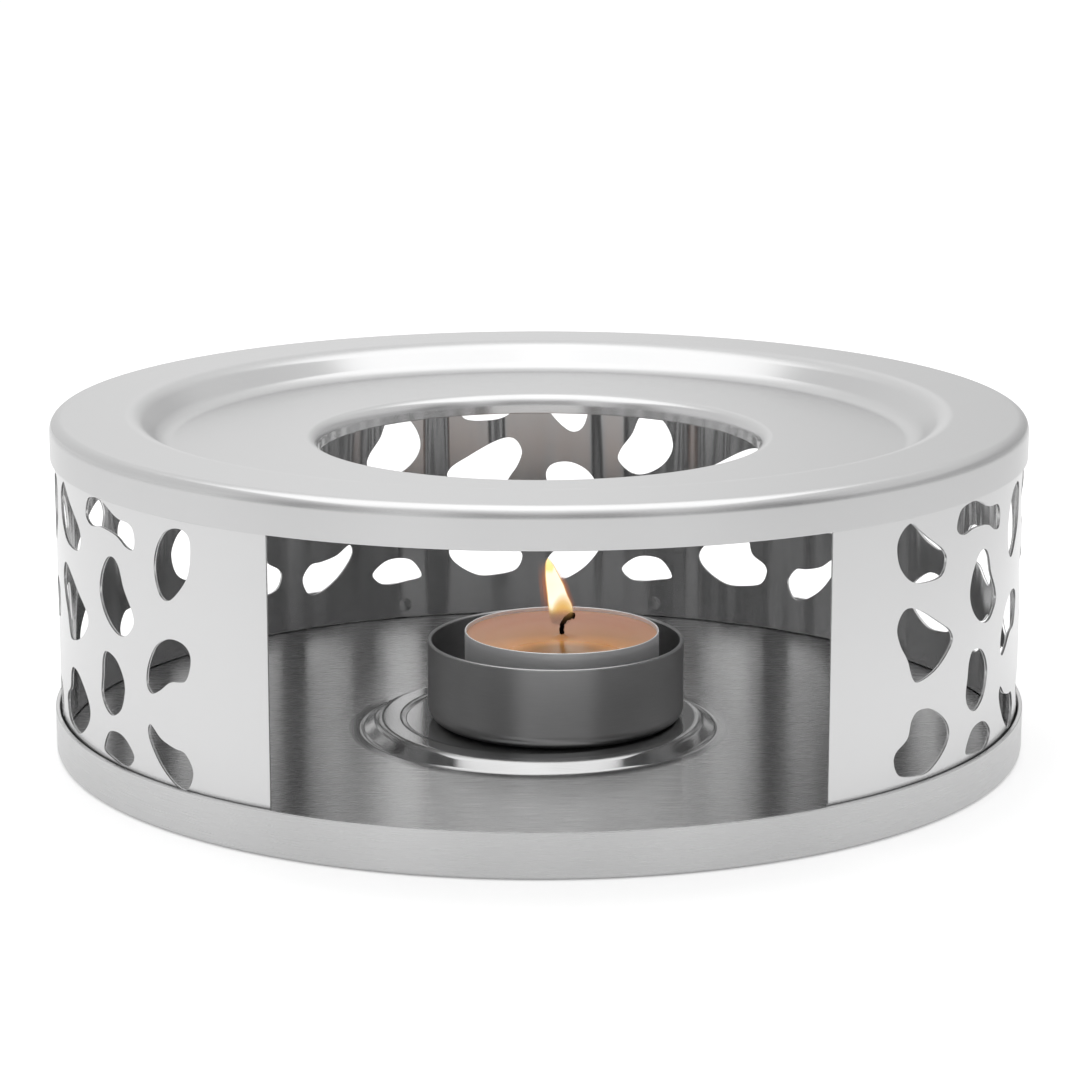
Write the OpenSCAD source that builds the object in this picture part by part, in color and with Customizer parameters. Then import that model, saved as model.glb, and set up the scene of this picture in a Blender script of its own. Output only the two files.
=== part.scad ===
// Teapot warmer: a pierced band between a shallow tray and a ring-shaped top plate,
// with a loose candle cup and a tealight inside. The front opening faces -Y, and
// z = 0 is the table.

/* [Overall] */
// Outer diameter of the top plate
plate_d = 185; // [165:1:220]
// Height from the table to the rim of the top plate
body_h = 64; // [52:0.1:90]

/* [Top plate] */
// Sheet thickness of the top plate
plate_t = 0.6; // [0.4:0.1:1]
// Height of the skirt that is turned down round the plate
skirt_h = 7.5; // [5:0.1:12]
// Bend radius between the plate and its skirt
plate_edge_r = 2.3; // [1.2:0.1:3]
// Diameter of the flat seat for the pot
seat_d = 143; // [115:1:150]
// Depth of the seat below the rim
seat_depth = 5.4; // [3:0.1:8]
// Width of the sloping step round the seat
step_w = 5; // [3.5:0.1:8]
// Bend radius at the top and foot of the step
step_r = 5; // [1.2:0.1:6]
// Diameter of the hole that lets the heat up
hole_d = 84.4; // [65:0.1:100]
// Height of the collar that is turned down round the hole
collar_h = 3.9; // [3:0.1:8]
// Bend radius of the collar
collar_r = 2.4; // [1.2:0.1:2.8]

/* [Side band] */
// Sheet thickness of the band
band_t = 0.5; // [0.3:0.1:0.8]
// Gap between the band and the plate's skirt
skirt_gap = 0.15; // [0.1:0.05:0.5]
// Angle of the front opening
opening_angle = 62.7; // [40:0.1:90]
// Length of band that one repeat of the pebble pattern takes
pebble_pitch = 56.1; // [54:0.1:70]
// Least distance from the opening to the middle of the first column of pebbles
pebble_margin = 18; // [12:1:25]

/* [Base tray] */
// Sheet thickness of the tray
tray_t = 0.8; // [0.5:0.1:1]
// Height of the tray's rim
rim_h = 8.5; // [6:0.1:12]
// Gap between the band and the tray's rim
rim_gap = 0.35; // [0.2:0.05:0.6]
// Bend radius under the rim
tray_edge_r = 1.1; // [1:0.1:2]
// Diameter at the foot of the raised boss
boss_foot_d = 68; // [66:0.1:80]
// Diameter of the boss at the top
boss_top_d = 62; // [58:0.1:64]
// Height of the boss above the tray
boss_h = 2.1; // [1.5:0.1:4]
// Bend radius at the top and foot of the boss
boss_r = 3; // [1.2:0.1:4]
// Diameter of the shallow seat for the cup
cup_seat_d = 52; // [52:0.1:54]
// Depth of the seat for the cup
cup_seat_depth = 0.4; // [0.2:0.1:0.8]
// Bend radius round the seat for the cup
cup_seat_r = 1.6; // [1.2:0.1:2]

/* [Spot welds] */
// Diameter of a spot weld
weld_d = 3; // [2:0.1:4]
// Angle from the front to the first weld on each side
weld_first = 41; // [40:0.5:45]
// Angle between neighbouring welds
weld_pitch = 40.5; // [36:0.5:44]
// Number of welds on each side
welds_per_side = 4; // [3:1:4]
// Height of the lower welds above the tray's floor
base_weld_h = 3; // [2.5:0.1:4]
// Depth of the upper welds below the bend of the plate
top_weld_depth = 2.4; // [2.2:0.1:3]

/* [Candle cup] */
// Outer diameter of the cup
cup_d = 49.6; // [46:0.1:50]
// Height of the cup
cup_h = 15.9; // [12:0.1:20]
// Wall of the cup
cup_t = 0.8; // [0.5:0.1:1.2]
// Outer radius between the cup's wall and floor
cup_edge_r = 3; // [2:0.1:5]
// How far the loose cup stands to the right of the middle
cup_shift = 3.2; // [-3.2:0.1:3.2]

/* [Tealight] */
// Outer diameter of the can
can_d = 37.6; // [36:0.1:40]
// Height of the can
can_h = 16.7; // [14:0.1:20]
// Wall of the can
can_t = 0.3; // [0.2:0.05:0.5]
// Outer radius between the can's wall and floor
can_edge_r = 1; // [0.6:0.1:2]
// How far the loose tealight stands to the right of the cup's middle
can_shift = 1.2; // [-1.2:0.1:1.2]
// Depth of the wax below the can's rim
wax_drop = 1.2; // [0.6:0.1:4]
// Gap that the cooled wax leaves at the can, the wick and its foot
wax_gap = 0.1; // [0.05:0.05:0.3]
// Diameter of the wick
wick_d = 1; // [0.8:0.1:1.6]
// Straight length of wick above the wax
wick_rise = 1.4; // [1:0.1:4]
// Radius of the curl at the wick's end
wick_curl_r = 2.6; // [1.5:0.1:4]
// Turn of the curl
wick_curl = 90; // [30:5:120]
// Diameter of the wick's burnt tip
wick_tip_d = 1.4; // [1.2:0.1:2]
// Diameter of the wick's foot
foot_d = 13; // [10:0.5:16]
// Sheet thickness of the wick's foot
foot_t = 0.3; // [0.2:0.05:0.5]
// Height of the neck that grips the wick
neck_h = 3; // [2:0.1:5]
// Wall of the neck
neck_t = 0.4; // [0.3:0.1:0.6]
// Gap between the neck and the wick
neck_gap = 0.05; // [0.02:0.01:0.1]

/* [Hidden] */

// Facets of large, middling and small round work
round_fn = 180;
curl_fn = 48;
small_fn = 24;
// Steps along a bend, and between two points of a pebble
bend_steps = 6;
pebble_steps = 2;
// Share of the shorter flat beside a bend that the bend may take
bend_share = 0.48;
// How far a cut runs past the sheet that it goes through
cut_over = 1;

plate_r = plate_d / 2;
band_r = plate_r - plate_t - skirt_gap;
tray_r = band_r + rim_gap + tray_t;
seat_r = seat_d / 2;
seat_z = body_h - seat_depth;
hole_r = hole_d / 2;
band_top = body_h - plate_edge_r;

// The cup stands in its seat on the boss, and the tealight on the cup's floor
cup_z = tray_t + boss_h - cup_seat_depth;
cup_r = cup_d / 2;
cup_seat_slope = 1;
can_x = cup_shift + can_shift;
can_z = cup_z + cup_t;
can_r = can_d / 2;
wax_z = can_z + can_t;
wax_top = can_z + can_h - wax_drop;
wax_r = can_r - can_t - wax_gap;
wick_r = wick_d / 2;
neck_r = wick_r + neck_gap + neck_t;
curl_z = wax_top + wick_rise;

// The pebbles fill the window between the tray's rim and the plate's skirt, and are drawn for
// a window of this height
drawn_window_h = 48;
window_h = body_h - skirt_h - rim_h;

// Pebble outlines: distance along the band from the middle of their column, to the right
// seen from outside, and height above the tray's rim
slanted_bean = [
    [-8, 43], [-7, 45.5], [-4.5, 47], [-2, 45.5], [1, 43.5], [5, 41],
    [6.5, 38.8], [5, 36], [0, 35.6], [-4, 36.5], [-7, 39.3]
];
heart = [
    [-7.5, 28.5], [-6.5, 31], [-4.5, 32], [-1, 31], [4.5, 28], [8.5, 25.5],
    [9, 23], [4.5, 19.5], [-1, 18], [-3, 19], [-4.5, 22.5], [-6.5, 25.5]
];
broad_kidney = [
    [-7.5, 4.5], [-7, 6.5], [-4, 8.5], [-3, 11.5], [-1, 13], [3, 12.5],
    [7.5, 9.5], [9, 6.5], [7, 3.5], [2.5, 1], [-2, 1], [-6, 2]
];
long_bone = [
    [-10, 43.5], [-9, 46.5], [-6.5, 47.5], [-2.5, 47.5], [3, 45.5], [7.5, 45],
    [9, 43], [8.5, 40.5], [6, 40.5], [2.5, 42], [-3, 42.5], [-7.5, 42]
];
upright_bean = [
    [-4.5, 31], [-3.5, 34.5], [-1, 37.5], [1.5, 38], [3.5, 36.5], [5, 33],
    [7.5, 29.5], [8, 27], [5.5, 24.5], [2.5, 24], [-1, 25.5], [-3.5, 28]
];
oval = [
    [-5, 12], [-4.5, 15.5], [-4, 18.5], [-2.5, 20.2], [1, 19.7],
    [3.5, 17.5], [4.5, 14.5], [3, 10.5], [-0.5, 8.5], [-3.5, 9.5]
];
small_pebble = [
    [-4.5, 1.5], [-2.5, 5], [0.5, 6], [4, 5.5], [7, 3], [6, 1], [3.5, 0], [-1, 0.5]
];
drop = [
    [-4, 38.5], [-3, 42.5], [-0.5, 45.5], [3, 46.5], [5.5, 45.5],
    [6, 42.5], [5, 38], [1.5, 34], [-1, 33], [-3, 34.5]
];
kidney = [
    [-7, 17], [-6.5, 20.5], [-4, 24.5], [0, 26.5], [4, 26],
    [5.5, 23.5], [4, 19.5], [0, 18.5], [-3, 16.5], [-5.5, 15.5]
];
comma = [
    [-7, 8.5], [-6, 10], [-3, 8], [0.5, 7], [3.5, 6.5],
    [5.5, 3.5], [4, 0], [1, 0], [-3, 2.5], [-6, 6]
];
// Each column: its place within one repeat, and its pebbles
pebble_columns = [
    [0, [slanted_bean, heart, broad_kidney]],
    [19.5, [long_bone, upright_bean, oval, small_pebble]],
    [38, [drop, kidney, comma]]
];
last_column = pebble_columns[len(pebble_columns) - 1][0];

// The pattern repeats as often as the band has room, and is centred between the band's ends
degrees_per_mm = 180 / (PI * band_r);
band_length = (360 - opening_angle) / degrees_per_mm;
repeats = 1 + floor((band_length - 2 * pebble_margin - last_column) / pebble_pitch);
first_column = (band_length - last_column - (repeats - 1) * pebble_pitch) / 2;

function unit(v) = v / norm(v);
function left(v) = [-v[1], v[0]];
function turned(v, a) = [v[0] * cos(a) - v[1] * sin(a), v[0] * sin(a) + v[1] * cos(a)];
function turn(a, b) = atan2(a[0] * b[1] - a[1] * b[0], a * b);
function spot(corner) = [corner[0], corner[1]];
function backwards(list) = [for (i = [len(list) - 1 : -1 : 0]) list[i]];

// One face of a bent sheet: the line through corners [radius, height, bend radius], with
// round bends as far as the flats beside them have room, moved to the left of its
// direction by shift
function face(path, shift) = [
    for (i = [0 : len(path) - 1])
        let (
            last = len(path) - 1,
            here = spot(path[i]),
            flat_in = spot(path[max(i, 1)]) - spot(path[max(i, 1) - 1]),
            flat_out = spot(path[min(i, last - 1) + 1]) - spot(path[min(i, last - 1)]),
            before = unit(flat_in),
            after = unit(flat_out),
            angle = turn(before, after),
            reach = tan(abs(angle) / 2),
            room = bend_share * min(norm(flat_in), norm(flat_out)),
            bend = reach > 0 ? min(path[i][2], room / reach) : 0,
            side = angle < 0 ? -1 : 1,
            centre = here - before * bend * reach + left(before) * side * bend
        )
        each i == 0 || i == last
            ? [here + left(before) * shift]
            : [
                for (s = [0 : bend_steps])
                    centre - turned(left(before), angle * s / bend_steps) * (side * bend - shift)
            ]
];

// Smooth closed curve through the points of an outline
function closed_curve(p) = [
    for (i = [0 : len(p) - 1], s = [0 : pebble_steps - 1])
        let (
            n = len(p),
            t = s / pebble_steps,
            a = p[(i + n - 1) % n],
            b = p[i],
            c = p[(i + 1) % n],
            d = p[(i + 2) % n]
        )
        (2 * b + (c - a) * t + (2 * a - 5 * b + 4 * c - d) * t * t
            + (3 * b - a - 3 * c + d) * t * t * t) / 2
];

// The same curve, as high as the window needs it
function window_curve(p) =
    [for (c = closed_curve(p)) [c[0], c[1] * window_h / drawn_window_h]];

// A pressed round piece: the path is its outer face, and the sheet lies to the left of it
module pressed(path, thickness)
    rotate_extrude($fn = round_fn)
        polygon(concat(face(path, 0), backwards(face(path, thickness))));

// One pebble, cut through the band at a distance along the band from the opening
module pebble_cut(outline, along)
    rotate([0, 0, opening_angle / 2 + along * degrees_per_mm])
        rotate([90, 0, 0])
            translate([0, rim_h, band_r - band_t - cut_over])
                linear_extrude(band_t + 2 * cut_over)
                    polygon(window_curve(outline));

// Weld spots fill the gap between the band and the sheet outside it
module weld_ring(height, gap)
    intersection() {
        translate([0, 0, height - weld_d])
            difference() {
                cylinder(r = band_r + gap, h = 2 * weld_d, $fn = round_fn);
                translate([0, 0, -cut_over])
                    cylinder(r = band_r, h = 2 * weld_d + 2 * cut_over, $fn = round_fn);
            }
        union()
            for (side = [-1, 1], k = [0 : welds_per_side - 1])
                rotate([0, 0, side * (weld_first + k * weld_pitch)])
                    rotate([90, 0, 0])
                        translate([0, height, band_r - cut_over])
                            cylinder(d = weld_d, h = gap + 2 * cut_over, $fn = small_fn);
    }

module base_tray()
    color("silver")
        pressed([
            [0, boss_h - cup_seat_depth, 0],
            [cup_seat_d / 2, boss_h - cup_seat_depth, cup_seat_r],
            [cup_seat_d / 2 + cup_seat_slope, boss_h, cup_seat_r],
            [boss_top_d / 2, boss_h, boss_r],
            [boss_foot_d / 2, 0, boss_r],
            [tray_r, 0, min(tray_edge_r, tray_t + rim_gap)],
            [tray_r, rim_h, 0]
        ], tray_t);

// The whole band before it is pierced
module plain_band()
    rotate([0, 0, opening_angle / 2 - 90])
        rotate_extrude(angle = 360 - opening_angle, $fn = round_fn)
            translate([band_r - band_t, tray_t])
                square([band_t, band_top - tray_t]);

// A point outside the band, at a distance along it from the opening
function beyond(along) =
    let (angle = opening_angle / 2 - 90 + along * degrees_per_mm)
    2 * band_r * [cos(angle), sin(angle)];

// Where a repeat of the pattern starts, half way between the columns of two repeats
function repeat_start(k) =
    k == 0 ? -pebble_margin
    : k == repeats ? band_length + pebble_margin
    : first_column + k * pebble_pitch - (pebble_pitch - last_column) / 2;

// The stretch of band that holds one repeat
module band_stretch(k)
    intersection() {
        plain_band();
        linear_extrude(body_h)
            polygon([[0, 0], beyond(repeat_start(k)), beyond(repeat_start(k + 1))]);
    }

module side_band()
    color("gainsboro")
        for (k = [0 : repeats - 1])
            difference() {
                band_stretch(k);
                for (column = pebble_columns, outline = column[1])
                    pebble_cut(outline, first_column + k * pebble_pitch + column[0]);
            }

module top_plate()
    color("silver")
        pressed([
            [plate_r, body_h - skirt_h, 0],
            [plate_r, body_h, plate_edge_r],
            [seat_r + step_w, body_h, step_r],
            [seat_r, seat_z, step_r],
            [hole_r, seat_z, collar_r],
            [hole_r, seat_z - collar_h, 0]
        ], plate_t);

module base_spot_welds()
    color("darkgray")
        weld_ring(tray_t + base_weld_h, rim_gap);

module top_spot_welds()
    color("darkgray")
        weld_ring(body_h - plate_edge_r - top_weld_depth, skirt_gap);

module candle_cup()
    color("dimgray")
        translate([cup_shift, 0, cup_z])
            pressed([[0, 0, 0], [cup_r, 0, cup_edge_r], [cup_r, cup_h, 0]], cup_t);

module tealight_can()
    color("lightgray")
        translate([can_x, 0, can_z])
            pressed([[0, 0, 0], [can_r, 0, can_edge_r], [can_r, can_h, 0]], can_t);

module tealight_wax()
    color("peachpuff")
        translate([can_x, 0, 0])
            rotate_extrude($fn = round_fn)
                polygon([
                    [foot_d / 2 + wax_gap, wax_z],
                    [wax_r - can_edge_r, wax_z],
                    [wax_r, wax_z + can_edge_r],
                    [wax_r, wax_top],
                    [wick_r + wax_gap, wax_top],
                    [wick_r + wax_gap, wax_z + neck_h + wax_gap],
                    [neck_r + wax_gap, wax_z + neck_h + wax_gap],
                    [neck_r + wax_gap, wax_z + foot_t + wax_gap],
                    [foot_d / 2 + wax_gap, wax_z + foot_t + wax_gap]
                ]);

module wick_sustainer()
    color("lightgray")
        translate([can_x, 0, wax_z])
            rotate_extrude($fn = round_fn)
                polygon([
                    [0, 0],
                    [foot_d / 2, 0],
                    [foot_d / 2, foot_t],
                    [neck_r, foot_t],
                    [neck_r, neck_h],
                    [wick_r + neck_gap, neck_h],
                    [wick_r + neck_gap, foot_t],
                    [0, foot_t]
                ]);

module wick()
    color("black")
        translate([can_x, 0, 0]) {
            translate([0, 0, wax_z + foot_t])
                cylinder(r = wick_r, h = curl_z - wax_z - foot_t, $fn = small_fn);
            translate([wick_curl_r, 0, curl_z]) {
                rotate([90, 0, 0])
                    rotate([0, 0, 180 - wick_curl])
                        rotate_extrude(angle = wick_curl, $fn = curl_fn)
                            translate([wick_curl_r, 0])
                                circle(r = wick_r, $fn = small_fn);
                rotate([0, wick_curl - 90, 0])
                    translate([0, 0, wick_curl_r])
                        sphere(d = wick_tip_d, $fn = small_fn);
            }
        }

base_tray();
side_band();
top_plate();
base_spot_welds();
top_spot_welds();
candle_cup();
tealight_can();
tealight_wax();
wick_sustainer();
wick();
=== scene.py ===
# %% [markdown]
# # A steel teapot warmer, dressed for its picture
# The imported part comes in first and stays fixed. It gives the bodies that move.

# %% Load the imported part
import math

import bpy
import numpy as np
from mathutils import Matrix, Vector
from mathutils.geometry import delaunay_2d_cdt


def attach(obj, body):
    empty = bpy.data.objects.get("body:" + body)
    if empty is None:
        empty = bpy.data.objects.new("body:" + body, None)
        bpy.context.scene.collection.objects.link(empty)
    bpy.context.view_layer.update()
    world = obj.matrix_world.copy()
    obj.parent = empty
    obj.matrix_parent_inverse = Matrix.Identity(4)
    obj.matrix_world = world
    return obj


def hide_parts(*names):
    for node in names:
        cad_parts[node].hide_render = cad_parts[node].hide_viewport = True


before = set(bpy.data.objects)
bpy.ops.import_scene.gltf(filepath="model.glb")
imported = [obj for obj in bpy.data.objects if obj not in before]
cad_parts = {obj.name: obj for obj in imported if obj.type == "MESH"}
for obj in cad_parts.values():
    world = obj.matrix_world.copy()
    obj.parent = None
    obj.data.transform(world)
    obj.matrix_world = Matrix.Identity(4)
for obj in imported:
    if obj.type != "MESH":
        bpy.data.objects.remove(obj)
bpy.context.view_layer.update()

print("solids:", ", ".join(sorted(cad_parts)))

# %% [markdown]
# ## Sizes
# The warmer is made from three sheets of steel. Their sizes are written once, in millimetres,
# as a sheet-metal worker would note them, and everything below is drawn from them. In the names,
# _r is a radius, _t a thickness, _h a height, _bend the radius of a bend and _ease the small
# round on a deburred edge.

# %% Sizes of the three sheets
MM = 0.001

plate_r, plate_t, body_h, skirt_h, plate_bend = 92.5, 0.6, 64.0, 7.5, 2.3
seat_r, seat_z, step_w, step_bend = 71.5, 58.6, 5.0, 5.0
hole_r, collar_h, collar_bend = 42.2, 3.9, 2.4
plate_ease = 0.18

band_r, band_t, band_foot, band_top = 91.75, 0.5, 0.8, 61.7
opening = math.radians(62.7)
band_length = (2 * math.pi - opening) * band_r

tray_r, tray_t, rim_h, tray_bend = 92.9, 0.8, 8.5, 1.1
boss_foot_r, boss_top_r, boss_h, boss_bend = 34.0, 31.0, 2.1, 3.0
cup_seat_r, cup_seat_depth, cup_seat_slope, cup_seat_bend = 26.0, 0.4, 1.0, 1.6
tray_ease = 0.2

print("top plate", 2 * plate_r, "mm across; band", round(band_length, 1), "mm long")

# %% [markdown]
# ## A mesh from arrays
# Metal shows every error in its normals, because it mirrors the room. Blender can average the
# normals of the faces round a point, but on a sheet with small bends that leaves shadows on
# the flats. Here each point brings the exact normal of the surface it lies on. A UV map called
# "brush" says which way the sheet was brushed: U runs along the scratches and V across them.

# %% Build a mesh with exact normals and a brushing map
def make_piece(name, points, normals, faces, brush):
    mesh = bpy.data.meshes.new(name)
    mesh.from_pydata((np.asarray(points) * MM).tolist(), [], faces)
    mesh.polygons.foreach_set("use_smooth", np.ones(len(faces), bool))
    lines = mesh.uv_layers.new(name="brush")
    lines.data.foreach_set("uv", (np.asarray(brush, float) * MM).ravel())
    mesh.normals_split_custom_set_from_vertices([tuple(n) for n in normals])
    mesh.update()
    piece = bpy.data.objects.new(name, mesh)
    bpy.context.scene.collection.objects.link(piece)
    print(f"{name}: {len(points)} points, {len(faces)} faces")
    return piece


# %% [markdown]
# ## Bent sheet in section
# A press folds flat sheet over a rounded tool, so each corner of the section is an arc. The
# section is drawn as a list of corners [radius, height, bend radius]. One pass follows the
# outer face, and a second pass, one sheet thickness to the left, comes back along the inner face.

# %% One face of a bent sheet
BEND_STEPS = 12


def left_of(v):
    return np.array([-v[1], v[0]])


def turned(v, a):
    return np.array([v[0] * math.cos(a) - v[1] * math.sin(a), v[0] * math.sin(a) + v[1] * math.cos(a)])


def bent_face(corners, shift):
    """Points and left-hand normals along a bent line, moved to its left by shift."""
    spots = [np.array(c[:2], float) for c in corners]
    runs = [(b - a) / np.linalg.norm(b - a) for a, b in zip(spots, spots[1:])]
    line = [(spots[0] + left_of(runs[0]) * shift, left_of(runs[0]))]
    for spot, corner, before, after in zip(spots[1:], corners[1:], runs, runs[1:]):
        angle = math.atan2(before[0] * after[1] - before[1] * after[0], before @ after)
        side = math.copysign(1, angle)
        bend = corner[2]
        centre = spot - before * bend * math.tan(abs(angle) / 2) + left_of(before) * side * bend
        for s in range(BEND_STEPS + 1):
            lean = turned(left_of(before), angle * s / BEND_STEPS)
            line.append((centre - lean * (side * bend - shift), lean))
    line.append((spots[-1] + left_of(runs[-1]) * shift, left_of(runs[-1])))
    return line


# %% [markdown]
# ## The cut edge of a sheet
# No sheet keeps a knife-sharp edge: it is tumbled or deburred, and the small round it gets
# catches a bright line of light. That line is what makes thin metal look thin and real.

# %% A closed section with deburred edges
EDGE_STEPS = 4


def eased_end(corner, out, lean, thickness, ease):
    """The rounded end of a sheet, from its right-hand face to its left-hand face."""
    ring = []
    for middle, first, second in (
        (corner + lean * ease - out * ease, -lean, out),
        (corner + lean * (thickness - ease) - out * ease, out, lean),
    ):
        for s in range(EDGE_STEPS + 1):
            a = math.pi / 2 * s / EDGE_STEPS
            n = first * math.cos(a) + second * math.sin(a)
            ring.append((middle + n * ease, n))
    return ring


def sheet_section(corners, thickness, ease):
    outer = [(p, -n) for p, n in bent_face(corners, 0)]
    inner = bent_face(corners, thickness)
    spots = [np.array(c[:2], float) for c in corners]
    first_run = (spots[1] - spots[0]) / np.linalg.norm(spots[1] - spots[0])
    last_run = (spots[-1] - spots[-2]) / np.linalg.norm(spots[-1] - spots[-2])
    section = outer[:-1] + eased_end(spots[-1], last_run, left_of(last_run), thickness, ease) + inner[-2::-1]
    if corners[0][0] > 0:
        start = eased_end(spots[0], -first_run, left_of(first_run), thickness, ease)
        section = section[1:-1] + start[::-1]
    return section


# %% [markdown]
# ## Spin the section
# A lathe, or a press with a round die, makes the same shape all the way round. Blender's Screw
# modifier could spin a drawn line, but spinning the arrays keeps the exact normals. Flat areas
# are brushed in straight lines along X, as the sheet was before pressing, and upright walls are
# brushed round and round. On the brushing map the walls lie well to the side of the flats.

# %% Spin a section round an upright axis
ON_AXIS = 1e-6
WALLS_ASIDE = 200


def spin(name, section, centre=(0.0, 0.0), around=288):
    radii = np.array([p[0] for p, _ in section])
    heights = np.array([p[1] for p, _ in section])
    lean = np.array([n for _, n in section])
    angles = np.linspace(0, 2 * math.pi, around, endpoint=False)
    points, normals, rows = [], [], []
    for r, z, n in zip(radii, heights, lean):
        if r < ON_AXIS:
            rows.append([len(points)] * around)
            points.append((centre[0], centre[1], z))
            normals.append((0, 0, math.copysign(1, n[1])))
            continue
        rows.append(list(range(len(points), len(points) + around)))
        for a in angles:
            points.append((centre[0] + r * math.cos(a), centre[1] + r * math.sin(a), z))
            normals.append((n[0] * math.cos(a), n[0] * math.sin(a), n[1]))
    step = 2 * math.pi / around
    faces, brush = [], []
    count = len(section)
    for i in range(count):
        k = (i + 1) % count
        if radii[i] < ON_AXIS and radii[k] < ON_AXIS:
            continue
        upright = abs(lean[i][1] + lean[k][1]) < 1.0
        for j in range(around):
            ring = [(i, j), (i, j + 1), (k, j + 1), (k, j)]
            ids = [rows[a][b % around] for a, b in ring]
            keep = [q for q in range(4) if ids[q] != ids[q - 1]]
            faces.append([ids[q] for q in keep])
            for q in keep:
                a, b = ring[q]
                if upright:
                    brush.append((WALLS_ASIDE + max(radii[i], radii[k]) * step * b, heights[a]))
                else:
                    brush.append((radii[a] * math.cos(step * b), radii[a] * math.sin(step * b)))
    return make_piece(name, points, normals, faces, brush)


# %% [markdown]
# ## The base tray
# The tray is a drawn dish: a flat floor with a short upright rim, and a low round boss pushed up
# in the middle where the candle cup stands. One section, from the centre out to the rim, holds
# all of it.

# %% Press the base tray
base_tray = spin("pressed_tray", sheet_section([
    (0, boss_h - cup_seat_depth, 0),
    (cup_seat_r, boss_h - cup_seat_depth, cup_seat_bend),
    (cup_seat_r + cup_seat_slope, boss_h, cup_seat_bend),
    (boss_top_r, boss_h, boss_bend),
    (boss_foot_r, 0, boss_bend),
    (tray_r, 0, tray_bend),
    (tray_r, rim_h, 0),
], tray_t, tray_ease))

# %% [markdown]
# ## The top plate
# The plate is turned down into a skirt round its edge, steps down to a flat ring for the pot,
# and ends in a short collar round the hole that lets the heat up.

# %% Press the top plate
top_plate = spin("pressed_top_plate", sheet_section([
    (plate_r, body_h - skirt_h, 0),
    (plate_r, body_h, plate_bend),
    (seat_r + step_w, body_h, step_bend),
    (seat_r, seat_z, step_bend),
    (hole_r, seat_z, collar_bend),
    (hole_r, seat_z - collar_h, 0),
], plate_t, plate_ease))

# %% [markdown]
# ## The pattern of pebbles
# The band is pierced with ten rounded pebble shapes in three columns, and the group repeats eight
# times. Each shape is a short list of points: millimetres along the band from the middle of its
# column, and millimetres above the tray's rim. A smooth closed curve runs through them.

# %% Pebble shapes
pebble_columns = [
    (0.0, [
        [(-8, 43), (-7, 45.5), (-4.5, 47), (-2, 45.5), (1, 43.5), (5, 41),
         (6.5, 38.8), (5, 36), (0, 35.6), (-4, 36.5), (-7, 39.3)],
        [(-7.5, 28.5), (-6.5, 31), (-4.5, 32), (-1, 31), (4.5, 28), (8.5, 25.5),
         (9, 23), (4.5, 19.5), (-1, 18), (-3, 19), (-4.5, 22.5), (-6.5, 25.5)],
        [(-7.5, 4.5), (-7, 6.5), (-4, 8.5), (-3, 11.5), (-1, 13), (3, 12.5),
         (7.5, 9.5), (9, 6.5), (7, 3.5), (2.5, 1), (-2, 1), (-6, 2)],
    ]),
    (19.5, [
        [(-10, 43.5), (-9, 46.5), (-6.5, 47.5), (-2.5, 47.5), (3, 45.5), (7.5, 45),
         (9, 43), (8.5, 40.5), (6, 40.5), (2.5, 42), (-3, 42.5), (-7.5, 42)],
        [(-4.5, 31), (-3.5, 34.5), (-1, 37.5), (1.5, 38), (3.5, 36.5), (5, 33),
         (7.5, 29.5), (8, 27), (5.5, 24.5), (2.5, 24), (-1, 25.5), (-3.5, 28)],
        [(-5, 12), (-4.5, 15.5), (-4, 18.5), (-2.5, 20.2), (1, 19.7),
         (3.5, 17.5), (4.5, 14.5), (3, 10.5), (-0.5, 8.5), (-3.5, 9.5)],
        [(-4.5, 1.5), (-2.5, 5), (0.5, 6), (4, 5.5), (7, 3), (6, 1), (3.5, 0), (-1, 0.5)],
    ]),
    (38.0, [
        [(-4, 38.5), (-3, 42.5), (-0.5, 45.5), (3, 46.5), (5.5, 45.5),
         (6, 42.5), (5, 38), (1.5, 34), (-1, 33), (-3, 34.5)],
        [(-7, 17), (-6.5, 20.5), (-4, 24.5), (0, 26.5), (4, 26),
         (5.5, 23.5), (4, 19.5), (0, 18.5), (-3, 16.5), (-5.5, 15.5)],
        [(-7, 8.5), (-6, 10), (-3, 8), (0.5, 7), (3.5, 6.5),
         (5.5, 3.5), (4, 0), (1, 0), (-3, 2.5), (-6, 6)],
    ]),
]
pebble_pitch, repeats = 56.1, 8
last_column = pebble_columns[-1][0]
first_column = (band_length - last_column - (repeats - 1) * pebble_pitch) / 2


def smooth_loop(corners, steps=7):
    p = np.array(corners, float)
    loop = []
    for i in range(len(p)):
        a, b, c, d = p[i - 1], p[i], p[(i + 1) % len(p)], p[(i + 2) % len(p)]
        for s in range(steps):
            t = s / steps
            loop.append((2 * b + (c - a) * t + (2 * a - 5 * b + 4 * c - d) * t ** 2
                         + (3 * b - a - 3 * c + d) * t ** 3) / 2)
    return np.array(loop)


pebbles = []
for k in range(repeats):
    for place, shapes in pebble_columns:
        for shape in shapes:
            shift = np.array([first_column + k * pebble_pitch + place, rim_h])
            pebbles.append(smooth_loop(shape)[::-1] + shift)
print(len(pebbles), "pebbles, the first column", round(first_column, 1), "mm from the opening")

# %% [markdown]
# ## The flat strip
# A real band is punched flat and rolled afterwards. Cutting eighty holes with Blender's Boolean
# modifier would work but leaves long thin triangles that show in the reflections. Instead the
# strip is filled between its outlines with even triangles, with support points scattered over
# the metal, and every outline gets a small round where the punch pulled the edge down. The strip's
# foot stops a hair above the tray's floor.

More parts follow.
